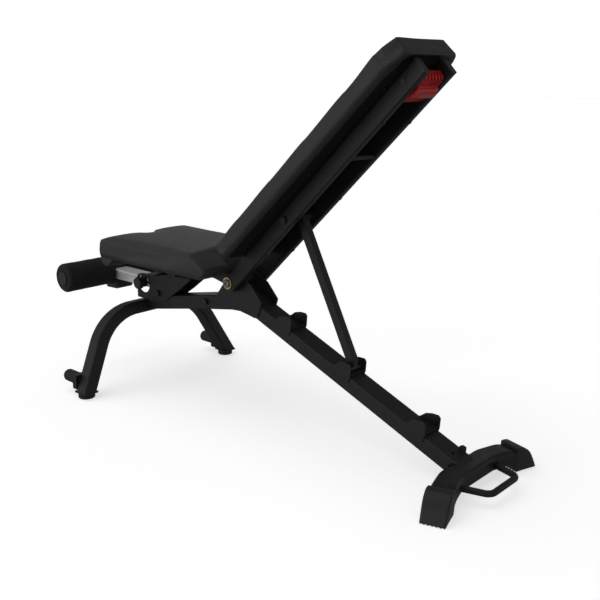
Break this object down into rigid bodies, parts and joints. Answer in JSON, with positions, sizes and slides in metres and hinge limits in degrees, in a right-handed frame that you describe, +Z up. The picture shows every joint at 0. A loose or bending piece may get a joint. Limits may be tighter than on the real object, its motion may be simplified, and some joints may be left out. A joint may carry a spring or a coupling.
{
  "type": "adjustable weight bench",
  "caption": "Black adjustable weight bench with a tilting backrest held by a ladder strut, a padded seat, a bright sliding leg tube with foam rollers and a rear carry handle.",
  "frame": {"origin": "on the floor, under the middle of the bench's bounding box", "axes": "+Z up; +X towards the rear stabilizer and carry handle, -X towards the foam rollers; Y across the bench, with the pull knob on the -Y side"},
  "size_m": [1.525, 0.6212, 1.0225],
  "materials": {
    "frame_black": "satin powder coat",
    "pad_vinyl": "matte grained vinyl",
    "board_wood": "black stained plywood",
    "zinc_steel": "zinc plated",
    "bright_tube": "brushed",
    "bush_brass": "satin",
    "lever_red": "satin",
    "black_plastic": "fine texture",
    "black_rubber": "matte",
    "roller_foam": "matte closed-cell foam"
  },
  "bodies": {
    "main_frame": {"front_tube": "frame_black", "rear_rail": "frame_black", "pivot_sleeve": "frame_black", "front_leg_arch": "frame_black", "rear_stabilizer": "frame_black", "carry_handle": "frame_black", "storage_tab": "frame_black", "frame_bolts": "zinc_steel", "strut_catch_front": "frame_black", "strut_catch_middle": "frame_black", "strut_catch_rear": "frame_black", "leg_tube_glides": "black_plastic", "plunger_barrel": "zinc_steel", "bumper_mounts": "frame_black", "pivot_gusset_left": "frame_black", "pivot_gusset_right": "frame_black", "front_leg_cap_left": "black_plastic", "front_leg_cap_right": "black_plastic", "front_foot_pad_left": "black_rubber", "front_foot_pad_right": "black_rubber", "stow_bumper_left": "black_rubber", "stow_bumper_right": "black_rubber", "rear_cap_left": "black_plastic", "rear_cap_right": "black_plastic", "guide_plate_left": "frame_black", "guide_plate_right": "frame_black"},
    "pivot_shaft": {"pivot_shaft": "zinc_steel", "pivot_shaft_screws": "zinc_steel", "pivot_thrust_washers": "black_plastic"},
    "backrest": {"back_rail_left": "frame_black", "back_rail_right": "frame_black", "pivot_bushes": "bush_brass", "back_rail_plugs": "black_plastic", "back_cross_rod": "frame_black", "back_board": "board_wood", "back_pad": "pad_vinyl", "back_screws": "zinc_steel", "lever_pin": "zinc_steel"},
    "strut_pin": {"strut_pin": "zinc_steel"},
    "strut": {"strut_hub": "frame_black", "strut_tube": "frame_black", "strut_foot_pin": "zinc_steel"},
    "release_lever": {"release_lever": "lever_red"},
    "seat": {"seat_bracket": "frame_black", "seat_pad": "pad_vinyl", "seat_board": "board_wood", "seat_screws": "zinc_steel", "seat_rail_left": "frame_black", "seat_rail_right": "frame_black"},
    "leg_tube": {"leg_tube": "bright_tube", "leg_tube_plug": "black_plastic", "roller_bracket": "frame_black", "roller_axle": "zinc_steel"},
    "roller_left": {"roller_core_left": "black_plastic", "foam_roller_left": "roller_foam"},
    "roller_right": {"roller_core_right": "black_plastic", "foam_roller_right": "roller_foam"},
    "plunger": {"pull_knob": "black_plastic"}
  },
  "joints": [
    {"name": "back_raise", "type": "hinge", "parent": "main_frame", "child": "pivot_shaft", "pos_m": [-0.1005, 0, 0.384], "axis": [0, 1, 0], "range_deg": [-38.5, 0]},
    {"name": "back_lower", "type": "hinge", "parent": "pivot_shaft", "child": "backrest", "pos_m": [-0.1005, 0, 0.384], "axis": [0, 1, 0], "range_deg": [0, 45]},
    {"name": "strut_pin_turn", "type": "hinge", "parent": "backrest", "child": "strut_pin", "pos_m": [0.11987, 0, 0.58761], "axis": [0, 1, 0], "range_deg": [-100, 0]},
    {"name": "strut_swing", "type": "hinge", "parent": "strut_pin", "child": "strut", "pos_m": [0.11987, 0, 0.58761], "axis": [0, 1, 0], "range_deg": [0, 43]},
    {"name": "lever_squeeze", "type": "hinge", "parent": "backrest", "child": "release_lever", "pos_m": [0.48049, 0, 0.93396], "axis": [0, 1, 0], "range_deg": [0, 15], "stiffness_Nm_per_rad": 1.2, "springref_deg": -14.32},
    {"name": "seat_tilt", "type": "hinge", "parent": "main_frame", "child": "seat", "pos_m": [-0.1005, 0, 0.384], "axis": [0, 1, 0], "range_deg": [0, 15]},
    {"name": "leg_tube_slide", "type": "slide", "parent": "main_frame", "child": "leg_tube", "axis": [-1, 0, 0], "range_m": [-0.04, 0.04]},
    {"name": "roller_left_spin", "type": "hinge", "parent": "leg_tube", "child": "roller_left", "pos_m": [-0.7165, -0.1, 0.324], "axis": [0, 1, 0], "continuous": true},
    {"name": "roller_right_spin", "type": "hinge", "parent": "leg_tube", "child": "roller_right", "pos_m": [-0.7165, 0.1, 0.324], "axis": [0, 1, 0], "continuous": true},
    {"name": "knob_pull", "type": "slide", "parent": "main_frame", "child": "plunger", "axis": [0, -1, 0], "range_m": [0, 0.012], "stiffness_N_per_m": 800, "springref_m": -0.006}
  ],
  "couplings": [
    {"joint": "strut_pin_turn", "follows": "back_lower", "ratio": -2.17},
    {"joint": "strut_swing", "follows": "back_raise", "ratio": -1.1}
  ]
}
